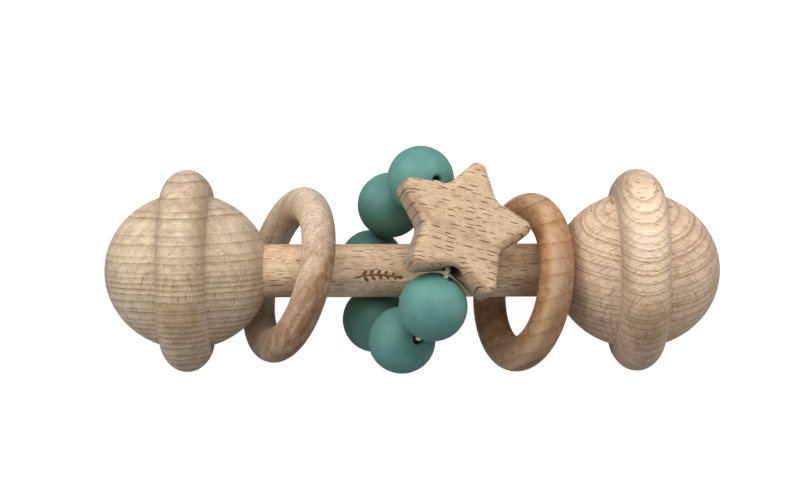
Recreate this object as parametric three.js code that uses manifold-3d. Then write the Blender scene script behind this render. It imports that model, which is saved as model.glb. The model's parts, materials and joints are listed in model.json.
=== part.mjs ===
// Wooden baby rattle: a beech dowel handle with a turned head at each end, two loose
// beech rings that slide along the handle, and a cord loop round the handle that
// strings six silicone beads and a flat beech star.
//
// Millimetres. +X runs along the handle to the right, +Y is the back, +Z is up, and the
// rattle rests on z = 0. Pieces are placed from the middle of the handle's axis.
import * as THREE from "three";
import { mergeVertices } from "three/addons/utils/BufferGeometryUtils.js";
import Module from "manifold-3d";

// ---------------------------------------------------------------- dimensions
const SHAFT_R = 6.0; // 12 mm dowel
const SHAFT_CHAMFER = 0.6; // on the hidden ends
const TENON = 12.0; // length glued into each head
const TENON_GAP = 0.1; // radial room round the tenon
const TENON_END_GAP = 0.3; // room past the end of the tenon

const HEAD_X = 50.4; // centre of each head from the middle of the handle
const BALL_A = 18.65; // half length of a head along the handle
const BALL_B = 17.5; // radius of a head's ball
const RIM_R = 22.7; // outer radius of the rim round each head
const RIM_HALF = 5.95; // half width of the rim's oval section, along the handle
const RIM_DEPTH = 7.2; // half height of the rim's oval section, outwards from the handle
const RIM_START = 13; // where the oval's arc starts and ends above its width line, degrees
const RIM_BRIDGE = 0.7; // the ball's profile stops this far beside the rim's section
const SHOULDER = 1.35; // the tenon is counted from this far inside the ball's pole

// the bore's mouth in a head, eased over a few small steps
const MOUTH_OUTER_STEP = 0.25; // along the handle, from the mouth back up the ball
const MOUTH_FLARE = 0.15; // widening of the bore at the mouth
const MOUTH_INNER_STEP = 0.3; // along the handle, from the mouth to the plain bore
const MOUTH_CLEAR = 1.2; // the ball's own points stop this far outside the bore

const AXIS_Y = -2.43; // handle axis, so that the whole rattle is centred on y = 0
const AXIS_Z = RIM_R; // handle axis: the heads' rims touch the table

const RING_R = 16.28; // loose ring: centre line radius
const RING_TUBE = 4.05; // loose ring: half width of the section, across the ring
const RING_THICK = 3.75; // loose ring: half thickness of the section, along its axis
// centre of each loose ring, and its axis: tilt above level, turn from +X towards +Y, degrees
const LEFT_RING = { at: [-28.1, -0.86, -3.69], tilt: -23.7, turn: -13.9 };
const RIGHT_RING = { at: [24.95, -2.7, -2.25], tilt: -22.9, turn: -7.1 };

const BEAD_R = 7.5; // 15 mm silicone bead
const BEAD_BORE_R = 1.15;
const BEAD_MOUTH = 0.45; // chamfer of the bore's mouth
// centres of the beads, and the direction of each bead's bore along the cord
const BEADS = [
  { at: [1.97, 20.31, 3.83], bore: [-0.497, 0.096, -0.862] },
  { at: [-4.8, 15.01, -8.6], bore: [-0.39, -0.64, -0.67] },
  { at: [-9.11, 2.08, -15.14], bore: [-0.13, -0.99, 0.02] },
  { at: [-8.28, -11.2, -7.97], bore: [0.244, -0.632, 0.736] },
  { at: [-2.35, -15.45, 5.27], bore: [0.49, 0.05, 0.87] },
  { at: [4.3, -7.9, 16.56], bore: [0.41, 0.87, 0.27] },
];

const STAR_AT = [10.37, 9.18, 15.92]; // middle of the star
const STAR_NORMAL = [0.312, 0.281, 0.908]; // its upper face looks this way
const STAR_TURN = 75.2; // first tip from the star's own x axis, degrees
// The tips in turn from the first; the hand-cut star is not quite regular.
// reach: radius before rounding; cut: where the tip is sanded flat, 0 if left round
const STAR_TIPS = [
  { reach: 16.9, cut: 14.62 },
  { reach: 18.2, cut: 15.95 },
  { reach: 17.35, cut: 0 },
  { reach: 18.6, cut: 16.0 },
  { reach: 17.2, cut: 0 },
];
const STAR_NOTCH = 9.63; // notch radius before rounding
const STAR_HALF = 3.8; // half thickness
const STAR_EDGE = 1.8; // rounding of the edges
const STAR_TIP_ROUND = 1.9; // rounding of the tips, in the flat
const STAR_TIP_ROUND_MIN = 0.3; // least rounding of a tip once the outline is inset
const STAR_NOTCH_ROUND = 3.4; // rounding of the notches, in the flat
const STAR_BORE_R = 1.6; // hole from one notch to the next but one
const DRILL_LENGTH = 40; // long enough to pass right through the star
const WASTE = { depth: 10, width: 20 }; // block cut away beyond a flat tip

const CORD_R = 0.62;
const CORD_SIDES = 8;
const CORD_END = 1.0; // each end runs this far past the middle of the star's hole
const CORD_LEAN = 0.75; // the cord leans to the left in the hole's front mouth
const CORD_FRONT_DEPTH = 1.2; // where it passes the front mouth, inside the notch point
const CORD_BACK_DEPTH = 0.6; // the same at the back mouth
const CORD_BEAD_DEPTH = 1.7; // the cord runs straight to this far inside a bead's surface
const CORD_PULL = 0.38; // length of a bend's control arms, as a share of its span
const CORD_LONG_SPAN = 9; // longer spans are the straight ones through the beads
const KNOT_ACROSS = 1.25; // half sizes of the knot inside the star's hole
const KNOT_ALONG = 2.4;

// ---------------------------------------------------------------- materials
const wood = ({ color, roughness }) =>
  new THREE.MeshStandardMaterial({ color, roughness, metalness: 0 });
const MAT = {
  beech: () => wood({ color: 0xd9b993, roughness: 0.62 }),
  beechWarm: () => wood({ color: 0xc79c6e, roughness: 0.58 }),
  beechPink: () => wood({ color: 0xd4b092, roughness: 0.62 }),
  silicone: () => wood({ color: 0x5c9488, roughness: 0.72 }),
  cord: () => wood({ color: 0xd9d6c8, roughness: 0.85 }),
};

// ---------------------------------------------------------------- helpers
const X_AXIS = new THREE.Vector3(1, 0, 0);
const Y_AXIS = new THREE.Vector3(0, 1, 0);
const Z_AXIS = new THREE.Vector3(0, 0, 1);
const vector = (xyz) => new THREE.Vector3(...xyz);
const rad = THREE.MathUtils.degToRad;
const wasm = await Module();
wasm.setup();

function solid(geometry) {
  const bare = geometry.clone();
  bare.deleteAttribute("normal");
  bare.deleteAttribute("uv");
  const merged = mergeVertices(bare, 1e-4);
  return new wasm.Manifold(
    new wasm.Mesh({
      numProp: 3,
      vertProperties: new Float32Array(merged.attributes.position.array),
      triVerts: new Uint32Array(merged.index.array),
    }),
  );
}

// The solid of a mesh where it stands.
function placedSolid(mesh) {
  mesh.updateMatrix();
  return solid(mesh.geometry.clone().applyMatrix4(mesh.matrix));
}

function geometryOf(manifold) {
  const { vertProperties, triVerts } = manifold.getMesh();
  const geometry = new THREE.BufferGeometry();
  geometry.setAttribute(
    "position",
    new THREE.BufferAttribute(new Float32Array(vertProperties), 3),
  );
  geometry.setIndex(new THREE.BufferAttribute(new Uint32Array(triVerts), 1));
  geometry.computeVertexNormals();
  return geometry;
}

function piece(name, geometry, material) {
  const mesh = new THREE.Mesh(geometry, material);
  mesh.name = name;
  return mesh;
}

// Turns a profile of [radius, height] points round +Y.
function lathe(profile, sides) {
  const points = profile.map(([r, height]) => new THREE.Vector2(r, height));
  return new THREE.LatheGeometry(points, sides);
}

// Turns +Y, the axis of three.js lathes and cylinders, onto a direction.
function alongAxis(object, direction) {
  object.quaternion.setFromUnitVectors(Y_AXIS, direction.clone().normalize());
  return object;
}

// ---------------------------------------------------------------- handle
const shaftHalf = HEAD_X - BALL_A + SHOULDER + TENON;

function makeShaft() {
  const profile = [
    [0, -shaftHalf],
    [SHAFT_R - SHAFT_CHAMFER, -shaftHalf],
    [SHAFT_R, -shaftHalf + SHAFT_CHAMFER],
    [SHAFT_R, shaftHalf - SHAFT_CHAMFER],
    [SHAFT_R - SHAFT_CHAMFER, shaftHalf],
    [0, shaftHalf],
  ];
  return alongAxis(piece("shaft", lathe(profile, 32), MAT.beechPink()), X_AXIS);
}

// Profile of a head as [radius, height], from the pole at the outer end, over the rim, to
// the bore and its blind end. Height runs from the head's centre towards the shaft.
function headProfile() {
  const ballSteps = 8;
  const ballSweep = Math.acos((RIM_HALF + RIM_BRIDGE) / BALL_A);
  const ball = []; // from the pole to the rim
  for (let i = 0; i <= ballSteps; i++) {
    const angle = (ballSweep * i) / ballSteps;
    ball.push([BALL_B * Math.sin(angle), BALL_A * Math.cos(angle)]);
  }

  const rimSteps = 10;
  const rimStart = rad(RIM_START);
  const rim = [];
  for (let i = 0; i <= rimSteps; i++) {
    const angle = rimStart + ((Math.PI - 2 * rimStart) * i) / rimSteps;
    rim.push([RIM_R - RIM_DEPTH + RIM_DEPTH * Math.sin(angle), -RIM_HALF * Math.cos(angle)]);
  }

  const bore = SHAFT_R + TENON_GAP;
  const mouth = BALL_A * Math.sqrt(1 - (bore / BALL_B) ** 2);
  const easing = mouth - MOUTH_OUTER_STEP;
  const blindEnd = HEAD_X - shaftHalf - TENON_END_GAP;
  return [
    ...ball.map(([r, height]) => [r, -height]),
    ...rim,
    ...ball.filter(([r]) => r > bore + MOUTH_CLEAR).reverse(),
    [BALL_B * Math.sqrt(1 - (easing / BALL_A) ** 2), easing],
    [bore + MOUTH_FLARE, mouth],
    [bore, mouth - MOUTH_INNER_STEP],
    [bore, blindEnd],
    [0, blindEnd],
  ];
}

// side: -1 for the left head, +1 for the right head
function makeHead(name, side) {
  const head = piece(name, lathe(headProfile(), 36), MAT.beech());
  alongAxis(head, X_AXIS.clone().multiplyScalar(-side)); // the mouth faces the shaft
  head.position.set(side * HEAD_X, 0, 0);
  return head;
}

// ---------------------------------------------------------------- loose rings
function makeRing(name, { at, tilt, turn }, material) {
  const torus = new THREE.TorusGeometry(RING_R, RING_TUBE, 12, 36);
  torus.scale(1, 1, RING_THICK / RING_TUBE);
  const ring = piece(name, torus, material);
  const up = rad(tilt);
  const round = rad(turn);
  const axis = new THREE.Vector3(
    Math.cos(up) * Math.cos(round),
    Math.cos(up) * Math.sin(round),
    Math.sin(up),
  );
  ring.quaternion.setFromUnitVectors(Z_AXIS, axis);
  ring.position.set(...at);
  return ring;
}

// ---------------------------------------------------------------- beads
function beadGeometry() {
  const mouthR = BEAD_BORE_R + BEAD_MOUTH;
  const boreHalf = Math.sqrt(BEAD_R ** 2 - mouthR ** 2) - BEAD_MOUTH;
  const start = Math.asin(mouthR / BEAD_R);
  const steps = 12;
  const profile = [[BEAD_BORE_R, -boreHalf]];
  for (let i = 0; i <= steps; i++) {
    const angle = start + ((Math.PI - 2 * start) * i) / steps;
    profile.push([BEAD_R * Math.sin(angle), -BEAD_R * Math.cos(angle)]);
  }
  profile.push([BEAD_BORE_R, boreHalf]);
  profile.push(profile[0]); // closes along the bore
  return lathe(profile, 20);
}

function makeBead({ at, bore }, index) {
  const bead = piece("bead_" + (index + 1), beadGeometry(), MAT.silicone());
  bead.position.set(...at);
  return alongAxis(bead, vector(bore));
}

// ---------------------------------------------------------------- star
// Star frame: x is the handle's direction laid into the star's plane, y points mostly to
// the back and z out of the upper face. Corners are counted anticlockwise from the first
// tip: even ones are tips, odd ones notches.
const starZ = vector(STAR_NORMAL).normalize();
const starX = X_AXIS.clone().addScaledVector(starZ, -starZ.x).normalize();
const starY = starZ.clone().cross(starX);
const starMatrix = new THREE.Matrix4().makeBasis(starX, starY, starZ).setPosition(...STAR_AT);

const cornerAngle = (k) => rad(STAR_TURN) + (k * Math.PI) / 5;
function cornerPoint(k) {
  const r = k % 2 ? STAR_NOTCH : STAR_TIPS[k / 2].reach;
  return new THREE.Vector2(r * Math.cos(cornerAngle(k)), r * Math.sin(cornerAngle(k)));
}

// The star's hole, in the star's frame
const boreBack = new THREE.Vector3(...cornerPoint(1), 0);
const boreFront = new THREE.Vector3(...cornerPoint(5), 0);
const boreMiddle = boreBack.clone().add(boreFront).multiplyScalar(0.5);
const boreDirection = boreBack.clone().sub(boreFront).normalize(); // front to back

const unitTo = (from, to) => to.clone().sub(from).normalize();

// The sharp corners, with every side moved inwards by `inset`.
function insetCorners(inset) {
  const corners = Array.from({ length: 10 }, (_, k) => cornerPoint(k));
  const inwards = (side) => new THREE.Vector2(-side.y, side.x).multiplyScalar(inset);
  return corners.map((corner, k) => {
    const arriving = unitTo(corners[(k + 9) % 10], corner);
    const leaving = unitTo(corner, corners[(k + 1) % 10]);
    const shift = inwards(arriving);
    // along the arriving side to where it meets the leaving one
    const slide = inwards(leaving).sub(shift).cross(leaving) / arriving.cross(leaving);
    return corner.clone().add(shift).addScaledVector(arriving, slide);
  });
}

// Outline of the star with rounded tips and notches, moved inwards by `inset`.
function starOutline(inset) {
  const tipRound = Math.max(STAR_TIP_ROUND_MIN, STAR_TIP_ROUND - inset);
  const notchRound = STAR_NOTCH_ROUND + inset;
  const outline = [];
  insetCorners(inset).forEach((corner, k, corners) => {
    const isNotch = k % 2 === 1;
    const r = isNotch ? notchRound : tipRound;
    const steps = isNotch ? 4 : 6;
    const before = unitTo(corner, corners[(k + 9) % 10]);
    const after = unitTo(corner, corners[(k + 1) % 10]);
    const half = Math.acos(before.dot(after)) / 2;
    const bisector = before.clone().add(after).normalize();
    const centre = corner.clone().addScaledVector(bisector, r / Math.sin(half));
    const angleAt = (side) => {
      const touch = corner.clone().addScaledVector(side, r / Math.tan(half));
      return Math.atan2(touch.y - centre.y, touch.x - centre.x);
    };
    const start = angleAt(before);
    let sweep = angleAt(after) - start;
    while (sweep > Math.PI) sweep -= 2 * Math.PI;
    while (sweep < -Math.PI) sweep += 2 * Math.PI;
    for (let i = 0; i <= steps; i++) {
      const angle = start + (sweep * i) / steps;
      outline.push(
        new THREE.Vector2(centre.x + r * Math.cos(angle), centre.y + r * Math.sin(angle)),
      );
    }
  });
  return outline;
}

function starBlank() {
  const blank = new THREE.ExtrudeGeometry(new THREE.Shape(starOutline(STAR_EDGE)), {
    depth: 2 * (STAR_HALF - STAR_EDGE),
    steps: 1,
    bevelEnabled: true,
    bevelThickness: STAR_EDGE,
    bevelSize: STAR_EDGE,
    bevelSegments: 3,
    curveSegments: 1,
  });
  blank.translate(0, 0, -(STAR_HALF - STAR_EDGE));
  return solid(blank);
}

function starDrill() {
  const drill = new THREE.Mesh(
    new THREE.CylinderGeometry(STAR_BORE_R, STAR_BORE_R, DRILL_LENGTH, 16),
  );
  drill.position.copy(boreMiddle);
  return placedSolid(alongAxis(drill, boreDirection));
}

// The block beyond a flat tip.
function tipWaste(cut, angle) {
  const waste = new THREE.Mesh(new THREE.BoxGeometry(WASTE.depth, WASTE.width, WASTE.width));
  const r = cut + WASTE.depth / 2;
  waste.rotation.z = angle;
  waste.position.set(r * Math.cos(angle), r * Math.sin(angle), 0);
  return placedSolid(waste);
}

function makeStar() {
  let body = starBlank().subtract(starDrill());
  STAR_TIPS.forEach(({ cut }, i) => {
    if (cut) body = body.subtract(tipWaste(cut, cornerAngle(2 * i)));
  });
  const star = piece("star", geometryOf(body), MAT.beech());
  star.quaternion.setFromRotationMatrix(starMatrix);
  star.position.set(...STAR_AT);
  return star;
}

// ---------------------------------------------------------------- cord
// The star's hole, in the rattle's frame
const holeBack = boreBack.clone().applyMatrix4(starMatrix);
const holeFront = boreFront.clone().applyMatrix4(starMatrix);
const holeMiddle = boreMiddle.clone().applyMatrix4(starMatrix);
const backwards = boreDirection.clone().transformDirection(starMatrix);

// Points and headings the cord passes. One loop: from the knot out of the star's front
// mouth, through the beads from the last to the first, and in at the star's back mouth.
function cordStops() {
  const forwards = backwards.clone().negate();
  // a stop in the star's hole, `shift` further back than `point`
  const holeStop = (point, shift) => ({
    at: point.clone().addScaledVector(backwards, shift),
    heading: forwards,
  });
  const frontLean = holeFront.clone().addScaledVector(starX, -CORD_LEAN);
  const reach = BEAD_R - CORD_BEAD_DEPTH;
  const beadStops = [...BEADS].reverse().flatMap(({ at, bore }) => {
    const heading = vector(bore).normalize().negate();
    return [-reach, reach].map((shift) => ({
      at: vector(at).addScaledVector(heading, shift),
      heading,
    }));
  });
  return [
    holeStop(holeMiddle, -CORD_END),
    holeStop(frontLean, CORD_FRONT_DEPTH),
    ...beadStops,
    holeStop(holeBack, -CORD_BACK_DEPTH),
    holeStop(holeMiddle, CORD_END),
  ];
}

// The cord's centre line: straight through every bore, bending between them.
function cordPoints() {
  const stops = cordStops();
  const points = [stops[0].at];
  for (let i = 0; i + 1 < stops.length; i++) {
    const from = stops[i];
    const to = stops[i + 1];
    const span = from.at.distanceTo(to.at);
    const curve = new THREE.CubicBezierCurve3(
      from.at,
      from.at.clone().addScaledVector(from.heading, span * CORD_PULL),
      to.at.clone().addScaledVector(to.heading, -span * CORD_PULL),
      to.at,
    );
    const steps = span > CORD_LONG_SPAN ? 3 : 6;
    for (let k = 1; k <= steps; k++) points.push(curve.getPoint(k / steps));
  }
  return points;
}

// A path whose extrusion steps fall exactly on the given points.
class Polyline extends THREE.Curve {
  constructor(points) {
    super();
    this.points = points;
  }
  getPoint(t, target = new THREE.Vector3()) {
    const place = t * (this.points.length - 1);
    const i = Math.min(Math.floor(place), this.points.length - 2);
    return target.copy(this.points[i]).lerp(this.points[i + 1], place - i);
  }
  getPointAt(t, target) {
    return this.getPoint(t, target);
  }
  getTangent(t, target = new THREE.Vector3()) {
    const last = this.points.length - 1;
    const i = Math.round(t * last);
    const before = this.points[Math.max(0, i - 1)];
    const after = this.points[Math.min(last, i + 1)];
    return target.copy(after).sub(before).normalize();
  }
  getTangentAt(t, target) {
    return this.getTangent(t, target);
  }
}

function cordTube() {
  const points = cordPoints();
  const section = new THREE.Shape(
    Array.from({ length: CORD_SIDES }, (_, i) => {
      const angle = (2 * Math.PI * i) / CORD_SIDES;
      return new THREE.Vector2(CORD_R * Math.cos(angle), CORD_R * Math.sin(angle));
    }),
  );
  section.closePath();
  const tube = new THREE.ExtrudeGeometry(section, {
    steps: points.length - 1,
    extrudePath: new Polyline(points),
    curveSegments: 1,
    bevelEnabled: false,
  });
  return solid(tube);
}

function cordKnot() {
  const knot = new THREE.Mesh(new THREE.SphereGeometry(1, 12, 8));
  knot.scale.set(KNOT_ACROSS, KNOT_ALONG, KNOT_ACROSS);
  knot.position.copy(holeMiddle);
  return placedSolid(alongAxis(knot, backwards));
}

function makeCord() {
  return piece("cord", geometryOf(cordTube().add(cordKnot())), MAT.cord());
}

// ---------------------------------------------------------------- rattle
const rattle = new THREE.Group();
rattle.position.set(0, AXIS_Y, AXIS_Z);
rattle.add(
  makeShaft(),
  makeHead("left_head", -1),
  makeHead("right_head", 1),
  makeRing("left_ring", LEFT_RING, MAT.beech()),
  makeRing("right_ring", RIGHT_RING, MAT.beechWarm()),
  ...BEADS.map(makeBead),
  makeStar(),
  makeCord(),
);

const root = new THREE.Group();
root.add(rattle);
export default root;
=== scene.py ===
"""A beech and silicone hand toy, lying flat on a pale floor and seen from straight above.

The handle runs along X with a rimmed ball, the head, at each end (left is -X, right is +X).
There are two wooden rings, and a twisted cord threads six silicone beads and a wooden star.
Shapes are worked out in millimetres of the row frame, +Z up, and scaled to metres when made.
"""
import json
import math

import bmesh
import bpy
import numpy as np
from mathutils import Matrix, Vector


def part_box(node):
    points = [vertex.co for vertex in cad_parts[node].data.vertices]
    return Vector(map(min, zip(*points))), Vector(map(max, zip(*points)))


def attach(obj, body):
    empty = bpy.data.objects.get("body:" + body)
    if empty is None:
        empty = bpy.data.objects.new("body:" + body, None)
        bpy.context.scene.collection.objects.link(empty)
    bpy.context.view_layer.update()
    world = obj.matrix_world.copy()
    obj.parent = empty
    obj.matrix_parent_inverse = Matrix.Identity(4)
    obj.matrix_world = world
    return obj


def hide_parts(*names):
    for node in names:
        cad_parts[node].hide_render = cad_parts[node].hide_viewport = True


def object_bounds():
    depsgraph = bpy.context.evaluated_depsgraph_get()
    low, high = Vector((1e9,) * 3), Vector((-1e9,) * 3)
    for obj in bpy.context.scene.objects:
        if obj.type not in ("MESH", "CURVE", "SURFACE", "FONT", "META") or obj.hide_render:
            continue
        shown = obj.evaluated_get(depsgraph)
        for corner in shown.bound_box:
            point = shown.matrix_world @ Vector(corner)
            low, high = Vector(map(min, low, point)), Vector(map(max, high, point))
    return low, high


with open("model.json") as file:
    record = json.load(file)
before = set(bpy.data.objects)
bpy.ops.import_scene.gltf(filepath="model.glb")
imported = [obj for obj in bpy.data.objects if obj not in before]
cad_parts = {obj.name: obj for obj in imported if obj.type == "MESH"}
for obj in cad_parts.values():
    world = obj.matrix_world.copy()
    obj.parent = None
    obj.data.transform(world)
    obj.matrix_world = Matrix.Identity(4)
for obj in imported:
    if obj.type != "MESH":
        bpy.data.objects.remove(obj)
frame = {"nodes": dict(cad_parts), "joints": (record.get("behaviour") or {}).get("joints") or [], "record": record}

CAD_BOX = [list(map(float, corner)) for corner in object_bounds()]
MM = 0.001
JOINTS = {joint["name"]: joint for joint in frame["joints"]}
MOUNTS = {mount["name"]: mount for mount in frame["record"]["mounts"]}
ROUNDED_TURN = 6.283  # one turn in radians, as the noise and the knot use it


# ------------------------------------------------------------------ places and directions
def unit(vector):
    vector = np.array(vector, float)
    return vector / np.linalg.norm(vector)


def unit_rows(rows):
    return rows / np.maximum(np.linalg.norm(rows, axis=1), 1e-9)[:, None]


def centre_of(node):
    low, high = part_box(node)
    return (np.array(low) + np.array(high)) / 2 / MM


def half_size(node, axis):
    low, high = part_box(node)
    return (high[axis] - low[axis]) / 2 / MM


def point_of(entry):
    """The place of a joint or mount, mm."""
    return np.array(entry["pos_m"]) / MM


def frame_from_axis(axis):
    """A matrix whose columns are local axes, the third along `axis`."""
    z = unit(axis)
    hint = np.array((0, 0, 1), float)
    if abs(np.dot(hint, z)) > 0.95:
        hint = np.array((0, 1, 0), float)
    x = unit(hint - np.dot(hint, z) * z)
    return np.stack([x, np.cross(z, x), z], axis=1)


def smooth_noise(points, scale, seed):
    """Repeatable soft noise, roughly -1..1, for each point, from nine plane waves."""
    rng = np.random.RandomState(seed)
    total = np.zeros(len(points))
    for _ in range(9):
        direction = unit(rng.normal(size=3)) * (0.6 + 0.9 * rng.rand())
        phase = rng.rand() * ROUNDED_TURN
        total += np.sin(points @ direction / scale * 2 * math.pi + phase)
    return total / 4.5


def unevenness(points, height, scale, seed, sink=0.0):
    """A soft hand-sanded shift of each point along its direction from the origin."""
    return unit_rows(points) * (height * smooth_noise(points, scale, seed) - sink)[:, None]


# ------------------------------------------------------------------ meshes
def make_object(name, verts_mm, faces, weld=True):
    """A smooth mesh object; `weld` merges vertices that share a place."""
    mesh = bpy.data.meshes.new(name)
    mesh.from_pydata([tuple(v) for v in (np.asarray(verts_mm, float) * MM)], [], faces)
    if weld:
        mesh.validate()
    bm = bmesh.new()
    bm.from_mesh(mesh)
    if weld:
        bmesh.ops.remove_doubles(bm, verts=bm.verts, dist=1e-7)
    bmesh.ops.recalc_face_normals(bm, faces=bm.faces)
    bm.to_mesh(mesh)
    bm.free()
    for polygon in mesh.polygons:
        polygon.use_smooth = True
    ob = bpy.data.objects.new(name, mesh)
    bpy.context.scene.collection.objects.link(ob)
    return ob


def add_attribute(ob, name, values):
    """One number for each vertex, read by the material."""
    attribute = ob.data.attributes.new(name, "FLOAT", "POINT")
    attribute.data.foreach_set("value", np.array(values, np.float32))


def tube_faces(rows, around):
    """Quads between successive closed rows of `around` points."""
    faces = []
    for i in range(rows - 1):
        for k in range(around):
            k2 = (k + 1) % around
            start, following = i * around, (i + 1) * around
            faces.append((start + k, start + k2, following + k2, following + k))
    return faces


def revolve(profile, count, closed=False):
    """Points (u, r) turned about +Z: u along the axis, r from it. Returns vertices and faces."""
    verts, rings = [], []
    for u, r in profile:
        start = len(verts)
        if r < 1e-7:
            verts.append((0, 0, u))
            rings.append([start])
        else:
            for k in range(count):
                angle = 2 * math.pi * k / count
                verts.append((r * math.cos(angle), r * math.sin(angle), u))
            rings.append(list(range(start, start + count)))
    faces = []
    pairs = list(zip(rings, rings[1:]))
    if closed:
        pairs.append((rings[-1], rings[0]))
    for one, two in pairs:
        if len(one) == 1 and len(two) == 1:
            continue
        for k in range(count):
            k2 = (k + 1) % count
            if len(one) == 1:
                faces.append((one[0], two[k2], two[k]))
            elif len(two) == 1:
                faces.append((one[k], one[k2], two[0]))
            else:
                faces.append((one[k], one[k2], two[k2], two[k]))
    return np.array(verts, float), faces


def join(parts):
    """Several (vertices, faces) pairs as one."""
    all_verts, all_faces, base = [], [], 0
    for verts, faces in parts:
        all_verts.append(verts)
        all_faces += [tuple(i + base for i in face) for face in faces]
        base += len(verts)
    return np.concatenate(all_verts), all_faces


# ------------------------------------------------------------------ shader nodes
class Value:
    """A number or colour from a shader node. Arithmetic on it adds Math nodes."""

    def __init__(self, net, socket):
        self.net = net
        self.socket = socket

    def __add__(self, other):
        return self.net.math("ADD", self, other)

    def __sub__(self, other):
        return self.net.math("SUBTRACT", self, other)

    def __rsub__(self, other):
        return self.net.math("SUBTRACT", other, self)

    def __mul__(self, other):
        return self.net.math("MULTIPLY", self, other)

    def __truediv__(self, other):
        return self.net.math("DIVIDE", self, other)

    def clamped(self):
        return self.net.math("ADD", self, 0.0, clamp=True)

    def times_clamped(self, factor):
        return self.net.math("MULTIPLY", self, factor, clamp=True)

    def remap(self, low, high, to_low=0.0, to_high=1.0, smooth=True):
        """low..high becomes to_low..to_high, held at both ends."""
        node = self.net.new("ShaderNodeMapRange")
        node.interpolation_type = "SMOOTHSTEP" if smooth else "LINEAR"
        node.clamp = True
        self.net.put(node.inputs["Value"], self)
        names = ("From Min", "From Max", "To Min", "To Max")
        for name, number in zip(names, (low, high, to_low, to_high)):
            node.inputs[name].default_value = number
        return Value(self.net, node.outputs["Result"])


class Arrow(Value):
    """A vector from a shader node. Arithmetic on it adds Vector Math nodes."""

    def __add__(self, other):
        return self.net.vector_math("ADD", self, other)

    def __sub__(self, other):
        return self.net.vector_math("SUBTRACT", self, other)

    def scaled(self, factor):
        return self.net.vector_math("SCALE", self, scale=factor)

    def dot(self, direction):
        return self.net.vector_math("DOT_PRODUCT", self, tuple(direction))

    def length(self):
        return self.net.vector_math("LENGTH", self)

    def parts(self):
        node = self.net.new("ShaderNodeSeparateXYZ")
        self.net.put(node.inputs[0], self)
        return [Value(self.net, socket) for socket in node.outputs]


class NodeNet:
    """A new material and short ways to add nodes to it."""

    def __init__(self, name):
        self.material = bpy.data.materials.new(name)
        self.material.use_nodes = True
        self.tree = self.material.node_tree
        self.tree.nodes.clear()

    def new(self, kind, **settings):
        node = self.tree.nodes.new(kind)
        for key, value in settings.items():
            setattr(node, key, value)
        return node

    def put(self, socket, value):
        """Link a value into a socket, or set the socket to a plain value."""
        if isinstance(value, Value):
            value = value.socket
        if isinstance(value, bpy.types.NodeSocket):
            self.tree.links.new(value, socket)
        else:
            socket.default_value = value

    def math(self, operation, first, second=None, clamp=False):
        node = self.new("ShaderNodeMath", operation=operation)
        node.use_clamp = clamp
        self.put(node.inputs[0], first)
        if second is not None:
            self.put(node.inputs[1], second)
        return Value(self, node.outputs[0])

    def vector_math(self, operation, first, second=None, scale=None):
        node = self.new("ShaderNodeVectorMath", operation=operation)
        self.put(node.inputs[0], first)
        if second is not None:
            self.put(node.inputs[1], second)
        if scale is not None:
            self.put(node.inputs["Scale"], scale)
        if operation in ("DOT_PRODUCT", "LENGTH"):
            return Value(self, node.outputs["Value"])
        return Arrow(self, node.outputs[0])

    def place(self, centre=None):
        """The shaded point in mm, measured from `centre` if one is given."""
        self.coordinates = self.new("ShaderNodeTexCoord")
        point = Arrow(self, self.coordinates.outputs["Object"]).scaled(1000.0)
        return point if centre is None else point - tuple(centre)

    def noise(self, vector, scale, detail=2.0, rough=0.5):
        node = self.new("ShaderNodeTexNoise", noise_dimensions="3D")
        self.put(node.inputs["Vector"], vector)
        node.inputs["Scale"].default_value = scale
        node.inputs["Detail"].default_value = detail
        node.inputs["Roughness"].default_value = rough
        return node

    def soft(self, vector, scale, detail=2.0, rough=0.5):
        """Noise as one number about 0.5."""
        return Value(self, self.noise(vector, scale, detail, rough).outputs["Fac"])

    def cells(self, dimensions, place, randomness):
        """Scattered cells, placed by a number ("1D") or a vector ("3D")."""
        node = self.new("ShaderNodeTexVoronoi", voronoi_dimensions=dimensions, feature="F1")
        self.put(node.inputs["W" if dimensions == "1D" else "Vector"], place)
        node.inputs["Scale"].default_value = 1.0
        node.inputs["Randomness"].default_value = randomness
        return node

    def attribute(self, name):
        node = self.new("ShaderNodeAttribute", attribute_name=name)
        return Value(self, node.outputs["Fac"])

    def combine(self, *parts):
        node = self.new("ShaderNodeCombineXYZ")
        for socket, part in zip(node.inputs, parts):
            self.put(socket, part)
        return Arrow(self, node.outputs[0])

    def mix(self, share, first, second, blend="MIX"):
        node = self.new("ShaderNodeMix", data_type="RGBA", blend_type=blend)
        self.put(node.inputs["Factor"], share)
        self.put(node.inputs["A"], first)
        self.put(node.inputs["B"], second)
        return Value(self, node.outputs["Result"])

    def finish(self, colour, roughness, height, bump_strength, bump_distance, inputs):
        """Close the material with a bumped Principled surface. `inputs` sets its other inputs."""
        bump = self.new("ShaderNodeBump")
        bump.inputs["Strength"].default_value = bump_strength
        bump.inputs["Distance"].default_value = bump_distance
        self.put(bump.inputs["Height"], height)
        surface = self.new("ShaderNodeBsdfPrincipled")
        self.put(surface.inputs["Base Color"], colour)
        self.put(surface.inputs["Roughness"], roughness)
        for name, value in inputs.items():
            surface.inputs[name].default_value = value
        self.put(surface.inputs["Normal"], bump.outputs[0])
        return self.output(surface)

    def output(self, shader):
        node = self.new("ShaderNodeOutputMaterial")
        self.put(node.inputs["Surface"], shader.outputs[0])
        return self.material


def srgb(*channels):
    """An sRGB colour given in 0..255, as linear RGBA."""
    def linear(c):
        c /= 255.0
        return c / 12.92 if c <= 0.04045 else ((c + 0.055) / 1.055) ** 2.4

    return (*map(linear, channels), 1.0)


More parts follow.
